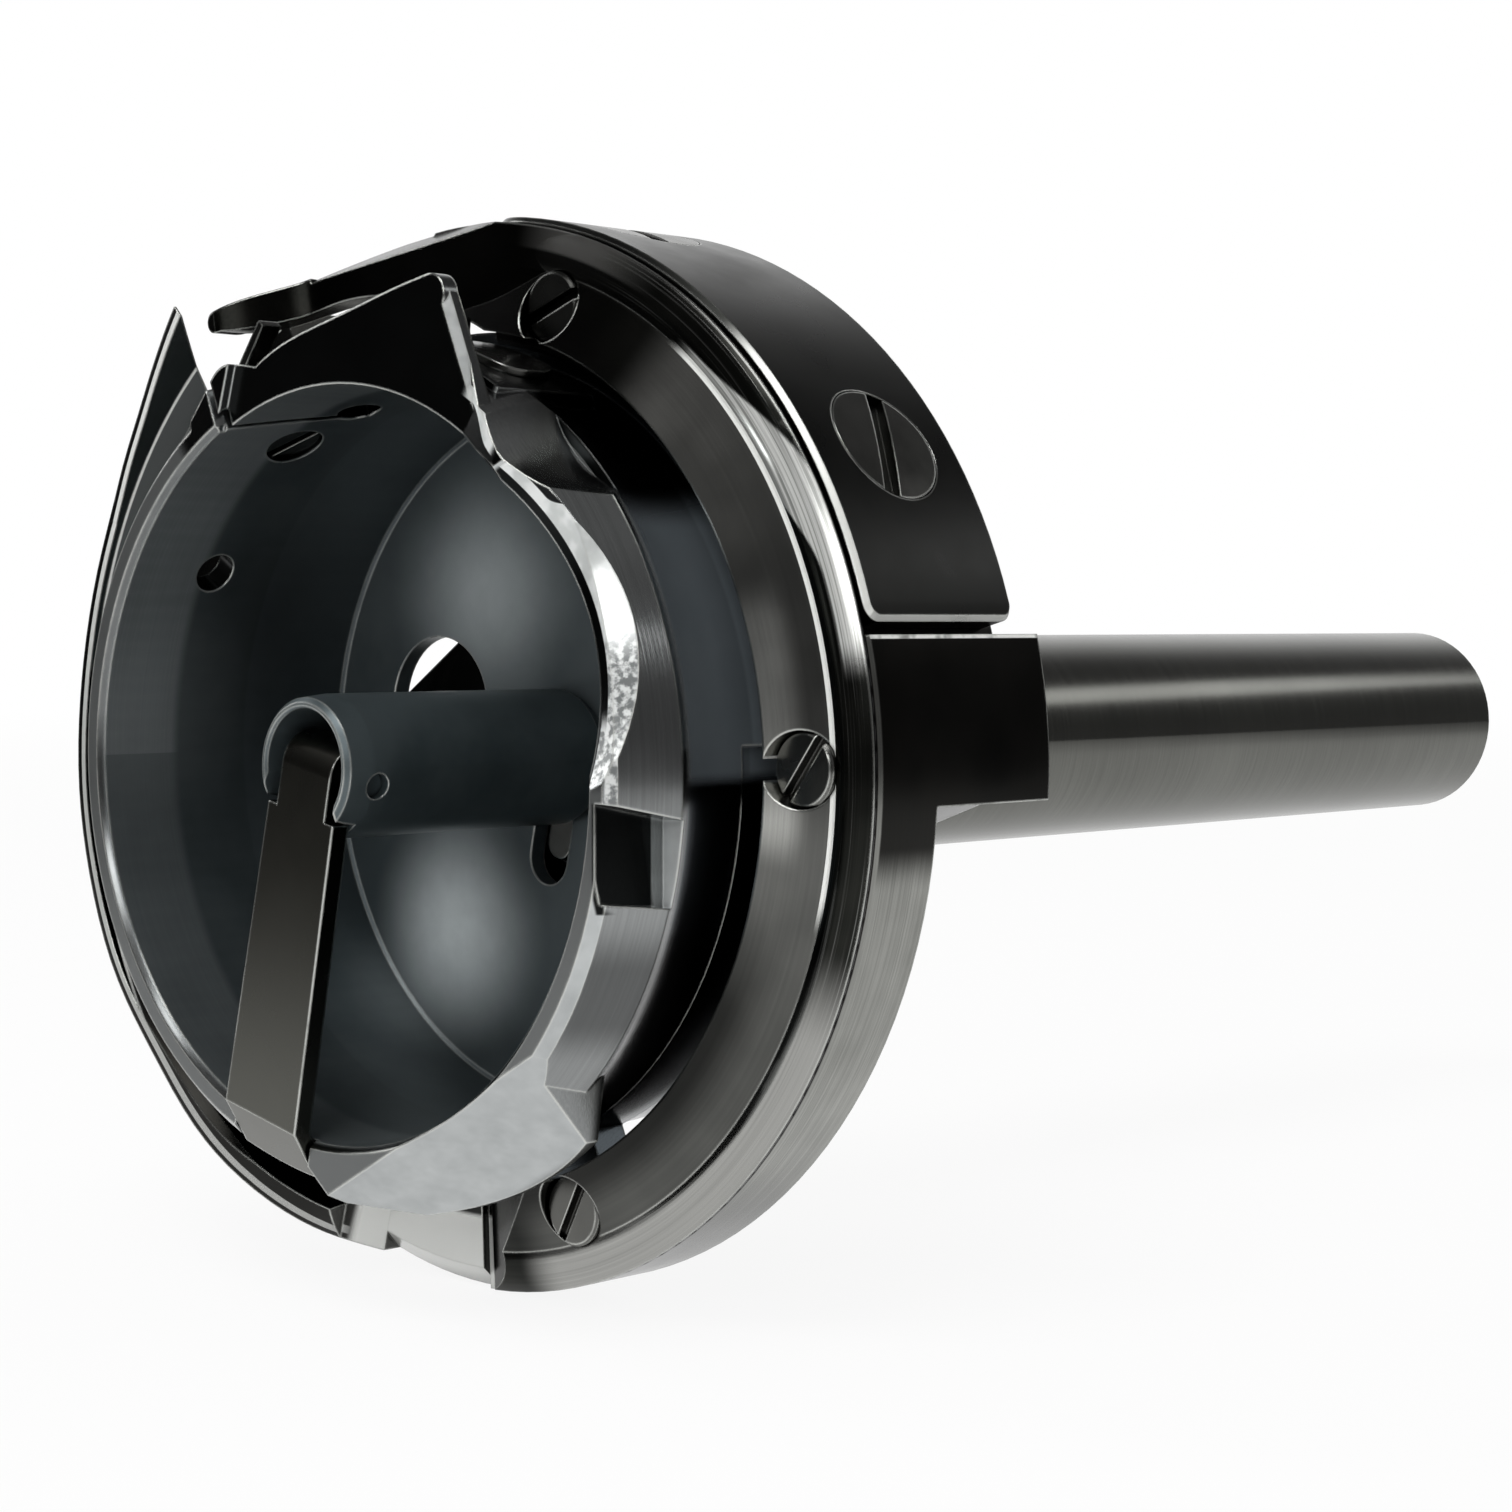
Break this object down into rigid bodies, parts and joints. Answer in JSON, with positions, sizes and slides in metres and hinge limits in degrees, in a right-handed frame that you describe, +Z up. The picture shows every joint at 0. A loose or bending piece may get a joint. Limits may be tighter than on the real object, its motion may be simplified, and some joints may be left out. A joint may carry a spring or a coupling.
{
  "type": "rotary sewing hook with bobbin case base",
  "caption": "Rotary sewing hook on a ground shaft, carrying a round bobbin case base with a hollow centre post and flip latch.",
  "frame": {"origin": "on the axis where the free journal of the shaft starts, 0.5 mm behind the hub", "axes": "+Y along the shaft away from the open front, +Z up with the horn and the needle side on top, +X towards the guard plate side"},
  "size_m": [0.0434, 0.082, 0.0438],
  "materials": {
    "ground_steel": "satin",
    "hook_steel": "polished",
    "plate_steel": "satin",
    "case_steel": "satin and polished",
    "latch_steel": "polished",
    "screw_steel": "polished",
    "spring_steel": "polished"
  },
  "bodies": {
    "hook": {"hook_body": "hook_steel", "hook_shaft": "ground_steel", "retaining_ring": "hook_steel", "ring_screws": "screw_steel", "guard_plate": "plate_steel", "guard_screws": "screw_steel"},
    "case_base": {"bobbin_case_base": "case_steel", "centre_post": "case_steel", "latch_pin": "screw_steel", "latch_spring": "spring_steel", "tension_spring": "spring_steel", "fixing_screw": "screw_steel", "adjusting_screw": "screw_steel"},
    "latch": {"latch_bar": "latch_steel"}
  },
  "joints": [
    {"name": "case_turn", "type": "hinge", "parent": "hook", "child": "case_base", "pos_m": [0, -0.016, 0], "axis": [0, 1, 0], "continuous": true},
    {"name": "latch_flip", "type": "hinge", "parent": "case_base", "child": "latch", "pos_m": [-0.00002, -0.0235, -0.0001], "axis": [-0.9763, 0, 0.2164], "range_deg": [0, 90]}
  ]
}
